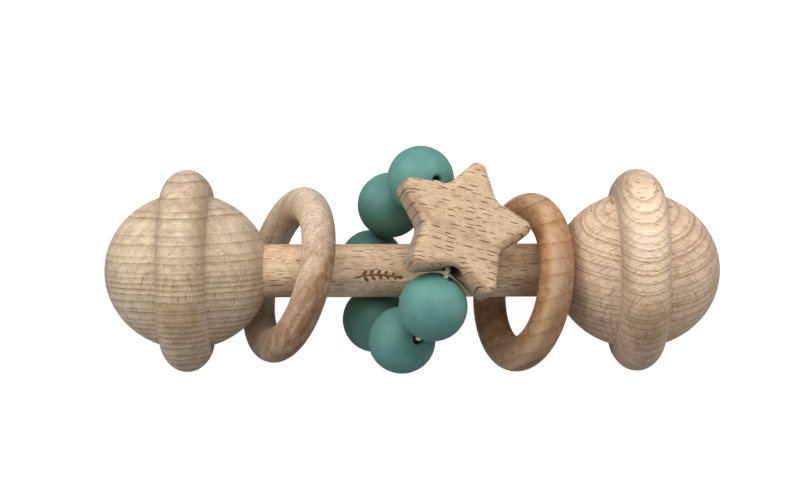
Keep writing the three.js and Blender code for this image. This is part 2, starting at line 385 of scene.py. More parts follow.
# ------------------------------------------------------------------ wood
END_GRAIN = srgb(178, 160, 142)
CHAR_DARK, CHAR_LIGHT = srgb(104, 62, 44), srgb(146, 96, 70)
WOOD_ROUGHNESS = (0.54, 0.70)
END_RAY_PITCH = 2.3  # mm between ray lines on the fibre ends


def growth_rings(net, level, place, spacing, line_width, dense, seed):
    """Rings stacked along `level`, irregular in spacing, sharp on one side and fading on the
    other. Returns the line, its faint tail, and the tone of the band it belongs to."""
    count = level / spacing
    rate = 1.0 / spacing
    if dense:
        # closer rings below a level
        below = net.math("EXPONENT", (dense["level"] - level) / dense["softness"])
        fade = net.math("LOGARITHM", below + 1.0, math.e)
        count = count - fade * (dense["extra_per_mm"] * dense["softness"])
        share = below / (below + 1.0)
        rate = share * dense["extra_per_mm"] + 1.0 / spacing
    count = count + (seed * 3.7 + 90.0)
    cells = net.cells("1D", count, randomness=0.7)
    distance = (count - Value(net, cells.outputs["W"])) / rate  # mm from the ring
    rise = distance.remap(-1.9 * line_width, -0.1 * line_width)
    fall = distance.remap(0.15 * line_width, 0.8 * line_width, 1.0, 0.0)
    line = rise * rise * fall
    tail = distance.remap(-0.5 * spacing, 0.0) * fall
    # every ring has its own strength and tone, and its line is broken up along its length
    random = Arrow(net, cells.outputs["Color"]).parts()
    strength = random[0].remap(0.0, 1.0, 0.45, 1.0, smooth=False)
    broken = net.soft(place, 0.5, 3.0, 0.6).remap(0.3, 0.66, 0.4, 1.0)
    tone = random[1].remap(0.0, 1.0, -0.5, 0.5, smooth=False)
    return line * strength * broken, tail * strength, tone


def ribbons(net, axes, size, half, deep, thick, share, shift, randomness=1.0):
    """Thin scattered ribbons, mm. `axes` are places along, across and into them and `size` is
    their spacing that way; `half` and `deep` are ranges of half length and half depth, `thick`
    is the half thickness and `share` the part of the cells that hold one."""
    place = net.combine(*(
        axis / step + shift * factor for axis, step, factor in zip(axes, size, (1.0, 1.7, 0.6))))
    cells = net.cells("3D", place, randomness)
    offset = (place - Value(net, cells.outputs["Position"])).parts()
    random = Arrow(net, cells.outputs["Color"]).parts()
    length = random[0].remap(0.0, 1.0, *half, smooth=False)
    width = random[1].remap(0.0, 1.0, thick * 0.65, thick * 1.3, smooth=False)
    depth = random[1].remap(0.0, 1.0, *deep, smooth=False)
    x, y, z = (d * step / reach for d, step, reach in zip(offset, size, (length, width, depth)))
    shape = (x * x + y * y + z * z).remap(0.3, 1.35, 1.0, 0.0)
    strength = random[2].remap(1.0 - share, 1.0 - share + 0.45, 0.15, 1.0)
    return shape * (strength * random[2].remap(1.0 - share - 0.02, 1.0 - share))


def end_ray_lines(net, across, fibre_end, place, strength, seed):
    """On the fibre ends each ray shows as a fine line across the piece."""
    cells = net.cells("1D", across / END_RAY_PITCH + (7.3 + seed), randomness=0.8)
    mask = (Value(net, cells.outputs["Distance"]) * END_RAY_PITCH).remap(0.06, 0.26, 1.0, 0.0)
    mask = mask * fibre_end.remap(0.45, 0.7, 0.0, strength)
    return mask * net.soft(place, 0.7).remap(0.35, 0.6, 0.35, 1.0)


def cross_strokes(net, grain, point, seed, along, across, size, half, share, strength,
                  towards, level, width):
    """Fine strokes lying another way, fading in round `level` on the way `towards`."""
    along, across = unit(along), unit(across)
    axes = [grain.dot(way) for way in (along, across, np.cross(along, across))]
    mask = ribbons(net, axes, size, half, deep=(2.0, 4.0), thick=0.09, share=share,
                   shift=83.1 + seed)
    return mask * point.dot(unit(towards)).remap(level - width, level + width, 0.0, strength)


def wood(
    name,
    fibre,  # direction of the fibres
    growth,  # direction the growth rings are stacked in
    origin,  # centre of the piece, mm
    light, dark, line, ray,  # colours: pale and dark wood, ring lines, rays
    gain,  # multiplies the final red, green and blue
    spacing,  # mm between rings
    line_strength,
    halo,  # strength of the tail beside each ring
    ray_size, ray_half, ray_thick, ray_share, ray_strength,  # see `ribbons`
    streak, mottle, grit, fleck,  # strengths: long streaks, blotches, specks, short flecks
    seed,
    warp,  # waviness of the grain
    line_width=0.2,
    dense=None,  # level, softness and extra_per_mm of closer rings
    bend=0.0,  # curves the rings across the piece
    ray_deep=(3.0, 6.0),
    ray_normal=None,  # direction across the rays when it isn't square to fibre and growth
    ray_randomness=1.0,
    fleck_size=(1.7, 0.42, 2.0),
    cross=None,  # arguments for `cross_strokes`
    patches=(),  # soft tinted bands
    spots=(),  # soft tinted balls, placed from the origin
    end_grain=0.35,  # greyness of the fibre ends
    end_rays=0.0,
    burn=False,  # darken by the "burn" attribute
    ridge_highlight=None,  # tint and share for the "crest" attribute
):
    """tint and share of the painted highlight, read from the attribute of the same name"""
    net = NodeNet(name)
    fibre = unit(fibre)
    growth = np.array(growth, float)
    growth = unit(growth - np.dot(growth, fibre) * fibre)
    side = np.cross(fibre, growth)
    across_rays = side if ray_normal is None else unit(ray_normal)
    point = net.place(origin)
    normal = Arrow(net, net.coordinates.outputs["Normal"])
    place = point + (seed * 7.1, seed * 3.3, seed * 5.7)

    # soft waviness of the grain, from broad to fine
    waves = [
        Arrow(net, net.noise(place, scale, detail).outputs["Color"]) - (0.5, 0.5, 0.5)
        for scale, detail in ((0.045, 1.0), (0.22, 2.0), (1.1, 1.0))]
    grain = point + waves[0].scaled(4.2 * warp)
    grain = grain + waves[1].scaled(0.75 * warp)
    ring_grain = grain + waves[2].scaled(0.22)
    at_fibre, at_growth, at_side = (grain.dot(way) for way in (fibre, growth, side))
    at_rays = at_side if ray_normal is None else grain.dot(across_rays)

    level = ring_grain.dot(growth)
    if bend:
        level = level + at_side * at_side * bend
    ring_line, tail, tone = growth_rings(net, level, place, spacing, line_width, dense, seed)

    # large and small rays, and short flecks
    axes = (at_fibre, at_rays, at_growth)
    large = ribbons(net, axes, ray_size, ray_half, ray_deep, ray_thick, ray_share,
                    shift=11.3 + seed, randomness=ray_randomness)
    small = ribbons(net, axes, [0.62 * length for length in ray_size],
                    half=(ray_half[0] * 0.5, ray_half[1] * 0.62),
                    deep=[0.6 * depth for depth in ray_deep],
                    thick=ray_thick * 0.7, share=ray_share, shift=31.9 + seed)
    flecks = ribbons(net, axes, fleck_size, half=(0.2 * fleck_size[0], 0.42 * fleck_size[0]),
                     deep=(0.4, 1.0), thick=0.055, share=0.85, shift=57.3 + seed)
    rays = net.math("MAXIMUM", large, small * 0.6)
    # a ray cut along its flat side shows faintly, not as a dark line
    flat = net.math("ABSOLUTE", normal.dot(across_rays))
    rays = rays * flat.remap(0.84, 0.985, 1.0, 0.12)

    # noise drawn out along the fibres, then even noise from broad to fine
    fibres = net.combine(at_fibre * 0.22, at_side * 3.0, at_growth * 3.0)
    fibres = net.soft(fibres, 1.0, 3.0, 0.65)
    streaks = net.combine(at_fibre * 0.05, at_side * 0.6, at_growth * 0.6)
    streaks = net.soft(streaks, 1.0, 2.0, 0.55)
    broad = net.soft(place, 0.06)
    mottling = net.soft(place, 0.5, 3.0, 0.6)
    specks = net.soft(place, 4.2, 2.0, 0.6)

    # from the pale to the dark wood colour
    darkness = (
        streaks.remap(0.3, 0.7) * (0.45 * streak)
        + fibres.remap(0.3, 0.7) * 0.34
        + (tone + broad.remap(0.35, 0.65)) * 0.2
        + mottling.remap(0.3, 0.7, -0.5, 0.5) * mottle
        + specks.remap(0.3, 0.7, -0.5, 0.5) * grit)
    colour = net.mix(darkness.clamped(), light, dark)
    for patch in patches:
        # a band square to one direction, broken up by the grain
        away = (grain.dot(unit(patch["towards"])) - patch["level"]) / patch["width"]
        band = net.math("EXPONENT", away * away * -1.0)
        edge = streaks.remap(0.25, 0.72, 0.45, 1.0) * mottling.remap(0.25, 0.6, 0.8, 1.0)
        colour = net.mix((band * patch["share"] * edge).clamped(), colour, patch["tint"])
    for spot in spots:
        away = (point - tuple(spot["where"])).length()
        mask = away.remap(spot["radius"] * 0.45, spot["radius"] * 1.15, 1.0, 0.0)
        colour = net.mix(mask * spot["share"], colour, spot["tint"])
    if ridge_highlight:
        # painted highlight: a paler tint along the band the attribute marks
        mask = net.attribute("ridge_highlight") * mottling.remap(0.3, 0.65, 0.5, 1.0)
        colour = net.mix(mask.times_clamped(ridge_highlight["share"]), colour, ridge_highlight["tint"])

    # fibre ends, ring lines and rays over it
    fibre_end = net.math("ABSOLUTE", normal.dot(fibre))
    colour = net.mix(fibre_end.remap(0.62, 0.96, 0.0, end_grain), colour, END_GRAIN)
    for mask, strength, tint in (
        (tail, halo, line),
        (ring_line, line_strength, line),
        (flecks, fleck, ray),
        (rays, ray_strength, ray),
    ):
        colour = net.mix(mask.times_clamped(strength), colour, tint)
    if end_rays:
        mask = end_ray_lines(net, at_rays, fibre_end, place, end_rays, seed)
        colour = net.mix(mask, colour, ray)
    if cross:
        mask = cross_strokes(net, grain, point, seed, **cross)
        colour = net.mix(mask, colour, ray)
        rays = net.math("MAXIMUM", rays, mask)

    # fibres stand up; rays, ring lines and flecks lie lower
    height = fibres * 0.35 - rays * 0.55 - ring_line * 0.4 - flecks * 0.3
    roughness = fibres.remap(0.25, 0.75, *WOOD_ROUGHNESS)
    if burn:
        burned = net.attribute("burn")
        char = net.mix(fibres.remap(0.3, 0.7), CHAR_DARK, CHAR_LIGHT)
        colour = net.mix(burned.remap(0.1, 0.8, 0.0, 0.88), colour, char)
        roughness = roughness + burned * 0.12
    colour = net.mix(1.0, colour, (*gain, 1.0), blend="MULTIPLY")
    return net.finish(colour, roughness, height, bump_strength=0.4, bump_distance=0.00006, inputs={
        "Specular IOR Level": 0.3,
        "Sheen Weight": 0.16,
        "Sheen Roughness": 0.35,
        "Sheen Tint": (0.92, 0.88, 1.0, 1.0),
    })


# ------------------------------------------------------------------ silicone and cotton
def silicone(name, centre, seed):
    """Sage green rubber with a little pale dust."""
    net = NodeNet(name)
    place = net.place(centre) + (seed * 9.1, seed * 4.3, seed * 6.7)
    fine = net.soft(place, 5.5, 3.0, 0.6)
    broad = net.soft(place, 0.35)
    dust = net.soft(place, 2.4, 2.0, 0.6).remap(0.56, 0.78)
    colour = net.mix(broad.remap(0.3, 0.7), srgb(104, 153, 142), srgb(113, 161, 150))
    colour = net.mix(fine.remap(0.35, 0.7) * 0.16, colour, srgb(130, 175, 166))
    colour = net.mix(dust * 0.07, colour, srgb(186, 212, 204))
    roughness = fine.remap(0.3, 0.7, 0.46, 0.56)
    return net.finish(colour, roughness, fine, bump_strength=0.3, bump_distance=0.00003, inputs={
        "Specular IOR Level": 0.56,
        "Sheen Weight": 0.03,
        "Sheen Roughness": 0.5,
    })


def cotton(name):
    """Off-white matt thread."""
    net = NodeNet(name)
    place = net.place()
    fine = net.soft(place, 9.0, 4.0, 0.7)
    broad = net.soft(place, 0.8)
    colour = net.mix(fine.remap(0.3, 0.7), srgb(222, 216, 198), srgb(244, 240, 226))
    colour = net.mix(broad.remap(0.35, 0.7) * 0.3, colour, srgb(214, 206, 184))
    return net.finish(colour, 0.9, fine, bump_strength=0.6, bump_distance=0.00005,
                      inputs={"Sheen Weight": 0.3})


def dress(ob, node, body, material):
    """Give a piece its material and let it stand in for a CAD node."""
    ob.data.materials.clear()
    ob.data.materials.append(material)
    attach(ob, body)
    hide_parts(node)


# ------------------------------------------------------------------ shaft
AXIS = centre_of("shaft")  # a point on the handle's axis
SHAFT_R = half_size("shaft", 2)
SHAFT_HALF = half_size("shaft", 0)
END_ROUND = 0.6  # how far the shaft's ends are eased, along and across

SPRIG_TURN = math.radians(12.5)  # the sprig's middle, from straight up towards -Y
SPRIG_DEPTH = 0.13
STEM_X = (-12.4, -3.4)
STEM_RISE, STEM_DROP = 0.55, 0.25
STEM_HALF = 0.20  # half width
LEAF_PAIRS = 5
LEAF_START, LEAF_PITCH = -11.2, 1.65
LEAF_STAGGER = 0.35  # the second leaf of a pair sits this much further along
LEAF_LENGTH, LEAF_HALF = 1.45, 0.42
LEAF_SHRINK = 0.10  # share of size lost from pair to pair
LEAF_STALK = 0.25


def stem_height(share):
    """A gentle arc: the stem's place round the handle at a share of its length."""
    return STEM_RISE * np.sin(share * math.pi) - STEM_DROP


def sprig_leaves():
    """Each leaf: x, place round the handle, angle, length and half width."""
    start, end = STEM_X
    leaves = []
    for i in range(LEAF_PAIRS):
        x = LEAF_START + LEAF_PITCH * i
        root = stem_height((x - start) / (end - start))
        size = 1.0 - LEAF_SHRINK * i
        for side, stagger in ((1, 0.0), (-1, LEAF_STAGGER)):
            angle = side * math.radians(48)
            leaves.append((x + stagger, root, angle, LEAF_LENGTH * size, LEAF_HALF * size))
    leaves.append((end - 0.2, -0.2, math.radians(-6), 1.35, LEAF_HALF))
    return leaves


def sprig_mask(x, around):
    """1 inside the small burned sprig, 0 outside. x runs along the handle, `around` round it."""
    start, end = STEM_X
    stem = stem_height(np.clip((x - start) / (end - start), 0, 1))
    beyond = np.where((x >= start) & (x <= end), 0, np.minimum(abs(x - start), abs(x - end)))
    nearest = np.hypot(beyond, around - stem) - STEM_HALF
    for root_x, root, angle, length, half in sprig_leaves():
        cos, sin = math.cos(angle), math.sin(angle)
        along = (x - root_x) * cos + (around - root) * sin
        across = -(x - root_x) * sin + (around - root) * cos
        share = np.clip((along - LEAF_STALK) / length, 0, 1)
        width = half * np.sqrt(np.clip(np.sin(share * math.pi), 0, 1))
        tip = LEAF_STALK + length
        to_end = np.minimum(abs(along - LEAF_STALK), abs(along - LEAF_STALK - length))
        inside = (along > LEAF_STALK) & (along < tip)
        distance = np.where(inside, abs(across) - width, np.hypot(to_end, across))
        nearest = np.minimum(nearest, distance)
    return 1 / (1 + np.exp(nearest / 0.05))


def build_shaft():
    # stations along X and angles from straight up towards -Y, both finer at the sprig
    stations = np.concatenate([
        np.linspace(-SHAFT_HALF + END_ROUND, -13.7, 60),
        np.arange(-13.6, -1.2, 0.085),
        np.linspace(-1.1, SHAFT_HALF - END_ROUND, 90)])
    angles = np.radians(np.concatenate([
        np.arange(-22, 46, 0.85), np.linspace(46, 338, 120, endpoint=False)]))
    turn, x = (grid.ravel() for grid in np.meshgrid(angles, stations))

    def on_shaft(radius):
        return np.stack([x, -np.sin(turn) * radius, np.cos(turn) * radius], axis=1)

    radius = SHAFT_R + 0.025 * smooth_noise(on_shaft(SHAFT_R), 21, 5) - 0.03
    half_round = math.pi * SHAFT_R
    around = (SPRIG_TURN - turn) * SHAFT_R
    around = (around + half_round) % (2 * half_round) - half_round
    burn = sprig_mask(x, around)
    verts = on_shaft(radius - SPRIG_DEPTH * burn).tolist()
    burn = burn.tolist()
    count, rows = len(angles), len(stations)
    faces = tube_faces(rows, count)
    # eased, then closed ends
    cap_r = SHAFT_R - END_ROUND
    for end_x, row in ((-SHAFT_HALF, 0), (SHAFT_HALF, rows - 1)):
        start = len(verts)
        for angle in angles:
            verts.append((end_x, -math.sin(angle) * cap_r, math.cos(angle) * cap_r))
        middle = len(verts)
        verts.append((end_x, 0.0, 0.0))
        burn += [0.0] * (count + 1)
        for k in range(count):
            k2 = (k + 1) % count
            faces.append((row * count + k, row * count + k2, start + k2, start + k))
            faces.append((start + k, start + k2, middle))
    verts = np.array(verts) + np.array([0, AXIS[1], AXIS[2]])
    ob = make_object("shaft_dowel", verts, faces, weld=False)
    add_attribute(ob, "burn", burn)
    return ob


def shaft_wood():
    return wood(
        "beech_handle", fibre=(1, 0, 0.01), growth=(0, 0.35, 0.93), origin=AXIS,
        light=srgb(252, 230, 202), dark=srgb(214, 178, 148),
        line=srgb(150, 104, 72), ray=srgb(122, 74, 44), gain=(1.08, 1.09, 1.05),
        spacing=2.6, line_strength=0.35, halo=0.15,
        ray_size=(3.6, 0.6, 9.0), ray_half=(0.8, 1.8), ray_thick=0.085,
        ray_strength=0.85, ray_share=0.7, streak=0.8, mottle=0.4, grit=0.45,
        fleck=0.35, fleck_size=(2.2, 0.4, 2.0), seed=1.0, warp=0.25, burn=True)


# ------------------------------------------------------------------ heads
BALL_HALF, BALL_R = 18.65, 17.5  # half length along the handle, radius across it
RIM_R = half_size("left_head", 2)
RIM_HALF, RIM_DEPTH = 5.95, 7.2  # half width and half height of the rim's oval section
RIM_FILLET = 0.4
HEAD_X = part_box("right_head")[1][0] / MM - BALL_HALF
HEAD_BORE = SHAFT_R + 0.06
HEAD_LIP = 0.35  # rounding at the mouth of the bore


def oval_distance(x, y, half_x, half_y):
    """Roughly the distance outside an oval centred at 0, 0."""
    reach = math.hypot(x / half_x, y / half_y)
    slope = math.hypot(x / half_x**2, y / half_y**2)
    return reach * (reach - 1) / max(slope, 1e-9)


def head_distance(u, r):
    """Roughly the distance outside the ball and rim together, with a fillet between them."""
    ball = oval_distance(u, r, BALL_HALF, BALL_R)
    # the rim is a little narrower where it meets the ball
    pinch = 1 + 0.085 * min(max((19.0 - r) / 2.2, 0.0), 1.0)
    rim = oval_distance(u * pinch, r - (RIM_R - RIM_DEPTH), RIM_HALF, RIM_DEPTH)
    blend = max(RIM_FILLET - abs(ball - rim), 0.0) / RIM_FILLET
    return min(ball, rim) - blend * blend * RIM_FILLET / 4


def head_profile():
    """(u, r) from the far pole, over the rim, into the bore. u grows towards the shaft."""
    # seen from the head's centre the outline is met once in every direction
    trace = []
    for angle in np.linspace(0, math.pi, 1441):
        along, out = -math.cos(angle), math.sin(angle)
        low, high = 10.0, 26.0
        for _ in range(34):
            middle = (low + high) / 2
            if head_distance(along * middle, out * middle) > 0:
                high = middle
            else:
                low = middle
        trace.append((along * low, out * low))
    trace = np.array(trace)
    # evenly spaced along the outline
    steps = np.linalg.norm(np.diff(trace, axis=0), axis=1)
    run = np.concatenate([[0], np.cumsum(steps)])
    where = np.linspace(0, run[-1], int(run[-1] / 0.36) + 1)
    points = list(zip(np.interp(where, run, trace[:, 0]), np.interp(where, run, trace[:, 1])))
    points[0] = (-BALL_HALF, 0.0)
    points = [(u, r) for u, r in points if u < 0 or r > HEAD_BORE + 0.45]
    mouth = BALL_HALF * math.sqrt(1 - ((HEAD_BORE + HEAD_LIP) / BALL_R) ** 2)
    for angle in np.linspace(0.25, math.pi / 2, 5):
        u = mouth - 0.3 * (angle / (math.pi / 2)) ** 2
        points.append((u, HEAD_BORE + HEAD_LIP * (1 - math.sin(angle))))
    bore_end = HEAD_X - SHAFT_HALF - 0.3
    points += [(mouth - 3.0, HEAD_BORE), (bore_end, HEAD_BORE), (bore_end, 0.0)]
    return points


def build_head(name, side, seed):
    """side is -1 for the left head and 1 for the right."""
    verts, faces = revolve(head_profile(), 176)
    verts = verts @ frame_from_axis((-side, 0, 0)).T
    # only the outside is uneven; the bore stays true
    outside = np.linalg.norm(verts, axis=1) > 14
    verts = verts + unevenness(verts, 0.05, 26, seed, sink=0.03) * outside[:, None]
    return make_object(name, verts + head_centre(side), faces)


def head_centre(side):
    return np.array([side * HEAD_X, AXIS[1], AXIS[2]])


def left_head_wood():
    return wood(
        "beech_left_head", fibre=(1, 0.02, 0.0), growth=(0.01, 0.99, 0.085),
        origin=head_centre(-1),
        light=srgb(228, 204, 174), dark=srgb(190, 164, 134),
        line=srgb(138, 102, 62), ray=srgb(116, 80, 48), gain=(1.03, 1.08, 1.13),
        spacing=2.5, line_strength=0.66, line_width=0.18, halo=0.3,
        dense=dict(level=3.2, softness=1.8, extra_per_mm=0.36), ray_normal=(0.0, -0.27, 0.96),
        ray_size=(3.1, 0.85, 6.0), ray_half=(0.6, 1.5), ray_deep=(1.6, 3.6), ray_thick=0.065,
        ray_strength=0.6, ray_share=0.5, streak=0.5, mottle=0.55, fleck=0.38, grit=0.5,
        seed=2.0, warp=0.26,
        # Painted shade: the two bands darken the creases between the rim's walls and the ball, more on the +X
        # side.
        patches=(
            dict(towards=(1, 0, 0), level=4.3, width=1.7, tint=srgb(176, 142, 108), share=0.5),
            dict(towards=(1, 0, 0), level=-5.0, width=1.1, tint=srgb(176, 146, 114), share=0.4),
        ),
        spots=(
            # Painted shade: darker brown on the rim's lower front, which faces away from the main light.
            dict(where=(0.0, -11.5, 19.6), radius=6.5, tint=srgb(168, 130, 90), share=0.42),
        ))


def right_head_wood():
    return wood(
        "beech_right_head", fibre=(1, 0.03, 0), growth=(0.02, 0.855, 0.52),
        origin=head_centre(1),
        light=srgb(232, 205, 174), dark=srgb(196, 165, 134),
        line=srgb(148, 106, 64), ray=srgb(124, 80, 46), gain=(1.05, 1.08, 1.13),
        spacing=1.3, line_strength=0.34, line_width=0.15, halo=0.42,
        ray_normal=(0.03, -0.643, 0.766),
        ray_size=(2.7, 0.8, 5.0), ray_half=(0.7, 1.7), ray_deep=(2.0, 4.5), ray_thick=0.06,
        ray_strength=0.6, ray_share=0.74, streak=0.4, mottle=0.5, fleck=0.38, grit=0.5,
        seed=5.0, warp=0.4,
        # Painted shade: the two bands darken the creases between the rim's walls and the ball, more on the -X
        # side.
        patches=(
            dict(towards=(1, 0, 0), level=-4.5, width=1.6, tint=srgb(170, 138, 106), share=0.5),
            dict(towards=(1, 0, 0), level=5.1, width=1.0, tint=srgb(176, 146, 114), share=0.3),
        ),
        cross=dict(
            along=(1, 0, 0), across=(0, 0.93, 0.36), size=(2.4, 0.8, 5.0), half=(0.4, 1.0),
            share=0.64, strength=0.55, towards=(0, 1, 0.3), level=2.0, width=5.0),
        spots=(
            dict(where=(1.6, 21.3, 6.5), radius=2.1, tint=srgb(244, 224, 198), share=0.55),
            # Painted light: the next two spots pale the rim's crest and its upper side, towards the main light.
            dict(where=(1.2, 13.0, 18.0), radius=10.5, tint=srgb(252, 228, 196), share=0.5),
            dict(where=(1.2, 2.0, 22.0), radius=8.0, tint=srgb(248, 226, 196), share=0.45),
            # Painted shade: darker brown on the rim's lower front, which faces away from the main light.
            dict(where=(1.0, -12.5, 19.0), radius=6.5, tint=srgb(166, 128, 92), share=0.45),
        ))


# ------------------------------------------------------------------ rings
RIDGE_HIGHLIGHT_AT = math.radians(-42.0)  # place round the ring's section of the painted highlight
RIDGE_HIGHLIGHT_WIDTH = 0.33  # radians
RING_SKIN = 0.04  # the section is this much inside the CAD one


def across_and_along(points, normal):
    """Distance of each point from an axis through 0, and its place along the axis."""
    along = points @ normal
    return np.linalg.norm(points - np.outer(along, normal), axis=1), along


def build_ring(node, seed):
    """A ring fitted to the CAD ring's own plane and section."""
    centre = centre_of(node)
    points = np.array([v.co for v in frame["nodes"][node].data.vertices], float) / MM - centre
    _, directions = np.linalg.eigh(points.T @ points)
    normal = directions[:, 0]
    if normal[0] < 0:
        normal = -normal
    radial, along = across_and_along(points, normal)
    half_thick = abs(along).max()
    half_wide = (radial.max() - radial.min()) / 2
    mid_radius = (radial.max() + radial.min()) / 2
    profile = []
    for k in range(60):
        angle = 2 * math.pi * k / 60
        profile.append(((half_thick - RING_SKIN) * math.cos(angle),
                        mid_radius + (half_wide - RING_SKIN) * math.sin(angle)))
    verts, faces = revolve(profile, 220, closed=True)
    verts = verts @ frame_from_axis(normal).T
    verts = verts + unevenness(verts, 0.045, 19, seed, sink=0.02)
    ob = make_object(node + "_turned", verts + centre, faces)
    # a painted highlight: a pale band along one side of the section
    points = np.array([v.co for v in ob.data.vertices]) / MM - centre
    radial, along = across_and_along(points, normal)
    section = np.arctan2(along / half_thick, (radial - mid_radius) / half_wide)
    away = section - RIDGE_HIGHLIGHT_AT + 0.16 * smooth_noise(points, 9, seed + 3)
    away = (away + math.pi) % (2 * math.pi) - math.pi
    add_attribute(ob, "ridge_highlight", np.exp(-((away / RIDGE_HIGHLIGHT_WIDTH) ** 2)))
    return ob


def left_ring_wood():
    return wood(
        "beech_left_ring", fibre=(0.50, 0.80, 0.33), growth=(0.75, -0.6, 0.25),
        origin=centre_of("left_ring"),
        light=srgb(238, 214, 184), dark=srgb(208, 176, 144),
        line=srgb(146, 100, 62), ray=srgb(128, 84, 48), gain=(1.04, 1.12, 1.22),
        spacing=4.6, line_strength=0.3, halo=0.1,
        ray_size=(2.0, 0.62, 6.0), ray_half=(0.35, 0.9), ray_thick=0.07,
        ray_strength=0.6, ray_share=0.72, streak=0.9, mottle=0.2, grit=0.55,
        fleck=0.56, fleck_size=(1.4, 0.36, 2.0), seed=7.0, warp=0.35,
        patches=(
            dict(towards=(0.86, -0.50, 0.05), level=10.0, width=6.0,
                 tint=srgb(152, 97, 44), share=0.88),
        ),
        cross=dict(
            along=(0.97, -0.12, -0.2), across=(0.12, 0.97, 0.2), size=(3.6, 1.6, 6.0),
            half=(0.7, 1.6), share=0.5, strength=0.55, towards=(0.3, 1, 0.2),
            level=1.5, width=3.0))


def right_ring_wood():
    return wood(
        "warm_right_ring", fibre=(0.36, 0.16, 0.92), growth=(-0.34, 0.94, 0.0),
        origin=centre_of("right_ring"),
        light=srgb(218, 178, 138), dark=srgb(184, 138, 98),
        line=srgb(150, 90, 44), ray=srgb(132, 84, 50), gain=(0.94, 0.96, 0.97),
        spacing=3.6, line_strength=0.62, line_width=0.17, halo=0.35, bend=0.008,
        ray_size=(2.0, 0.7, 6.0), ray_half=(0.3, 0.9), ray_thick=0.06,
        ray_strength=0.22, ray_share=0.6, streak=0.7, mottle=0.9, grit=0.75,
        fleck=0.5, fleck_size=(1.5, 0.4, 2.0), seed=9.0, warp=1.25,
        patches=(
            dict(towards=(0.25, 0.95, 0.1), level=12.0, width=4.0,
                 tint=srgb(196, 132, 74), share=0.6),
            dict(towards=(0.25, 0.95, 0.1), level=-1.5, width=3.0,
                 tint=srgb(192, 134, 82), share=0.45),
            dict(towards=(0.1, 1.0, 0.1), level=-17.0, width=5.0,
                 tint=srgb(196, 166, 140), share=0.6),
        ),
        # a painted highlight along one side of the ring's section
        ridge_highlight=dict(tint=srgb(232, 200, 166), share=0.65))


# ------------------------------------------------------------------ star
STAR_TIPS = (16.9, 18.2, 17.35, 18.6, 17.2)  # radius of each tip's sharp corner
STAR_CUTS = (14.62, 15.95, 0, 16.0, 0)  # where a tip is sanded flat, 0 where it is left round
STAR_NOTCH = 9.63  # radius of the inner corners
STAR_TURN = math.radians(75.2)  # angle of the first tip
STAR_EDGE, STAR_RISE = 1.8, 1.9  # how far the edge rounding reaches inwards and down
TIP_ROUND, NOTCH_ROUND = 1.9, 3.4
TIP_STEPS, NOTCH_STEPS, SIDE_STEPS, EDGE_STEPS = 14, 10, 9, 11
# the face's rows, as shares of its outline
FACE_ROWS = (
    0.9945, 0.985, 0.965, 0.93, 0.88, 0.82, 0.75, 0.67, 0.58, 0.49, 0.4, 0.31, 0.22, 0.13, 0.06)

STAR_NORMAL = unit(MOUNTS["star_front"]["axis"])
star_front, star_back = point_of(MOUNTS["star_front"]), point_of(MOUNTS["star_back"])
STAR_HALF = float(np.linalg.norm(star_front - star_back)) / 2
STAR_CENTRE = (star_front + star_back) / 2
STAR_X = unit(np.array([1.0, 0, 0]) - STAR_NORMAL[0] * STAR_NORMAL)
STAR_Y = np.cross(STAR_NORMAL, STAR_X)
STAR_FRAME = np.stack([STAR_X, STAR_Y, STAR_NORMAL], axis=1)

# the cord's hole, from a notch to the far side
HOLE_MID = point_of(JOINTS["star_swing"])
HOLE_AXIS = unit(JOINTS["star_swing"]["axis"])
HOLE_HALF, HOLE_R = 9.14, 1.6


def star_corners(inset):
    """The ten sharp corners with every side moved inwards."""
    corners = []
    for k in range(10):
        angle = STAR_TURN + k * math.pi / 5
        radius = STAR_NOTCH if k % 2 else STAR_TIPS[k // 2]
        corners.append(np.array([radius * math.cos(angle), radius * math.sin(angle)]))
    moved = []
    for k, corner in enumerate(corners):
        before = unit(corner - corners[k - 1])
        after = unit(corners[(k + 1) % 10] - corner)
        in_before = np.array([-before[1], before[0]]) * inset
        in_after = np.array([-after[1], after[0]]) * inset
        gap = in_after - in_before
        slide = ((gap[0] * after[1] - gap[1] * after[0])
                 / (before[0] * after[1] - before[1] * after[0]))
        moved.append(corner + in_before + before * slide)
    return moved


def star_outline(inset):
    """The star's outline with rounded tips and notches, moved inwards."""
    corners = star_corners(inset)
    arcs = []
    for k, corner in enumerate(corners):
        back, ahead = unit(corners[k - 1] - corner), unit(corners[(k + 1) % 10] - corner)
        half = math.acos(float(np.dot(back, ahead))) / 2
        radius = NOTCH_ROUND + inset if k % 2 else max(0.3, TIP_ROUND - inset)
        centre = corner + unit(back + ahead) * (radius / math.sin(half))
        start = corner + back * (radius / math.tan(half)) - centre
        end = corner + ahead * (radius / math.tan(half)) - centre
        first = math.atan2(start[1], start[0])
        sweep_angle = math.atan2(end[1], end[0]) - first
        while sweep_angle > math.pi:
            sweep_angle -= 2 * math.pi
        while sweep_angle < -math.pi:
            sweep_angle += 2 * math.pi
        steps = NOTCH_STEPS if k % 2 else TIP_STEPS
        angles = [first + sweep_angle * i / steps for i in range(steps + 1)]
        arcs.append([centre + radius * np.array([math.cos(a), math.sin(a)]) for a in angles])
    outline = []
    for k in range(10):
        outline += arcs[k]
        start, end = arcs[k][-1], arcs[(k + 1) % 10][0]
        outline += [start + (end - start) * i / SIDE_STEPS for i in range(1, SIDE_STEPS)]
    return np.array(outline)


def face_drop(points, outline):
    """A slight fall of the face towards its outline, as if sanded."""
    nearest = np.full(len(points), 1e9)
    for start, end in zip(outline, np.roll(outline, -1, axis=0)):
        side = end - start
        share = np.clip(((points - start) @ side) / max(side @ side, 1e-12), 0, 1)
        distance = np.linalg.norm(points - start - share[:, None] * side, axis=1)
        nearest = np.minimum(nearest, distance)
    return -0.03 * np.exp(-nearest / 1.1)


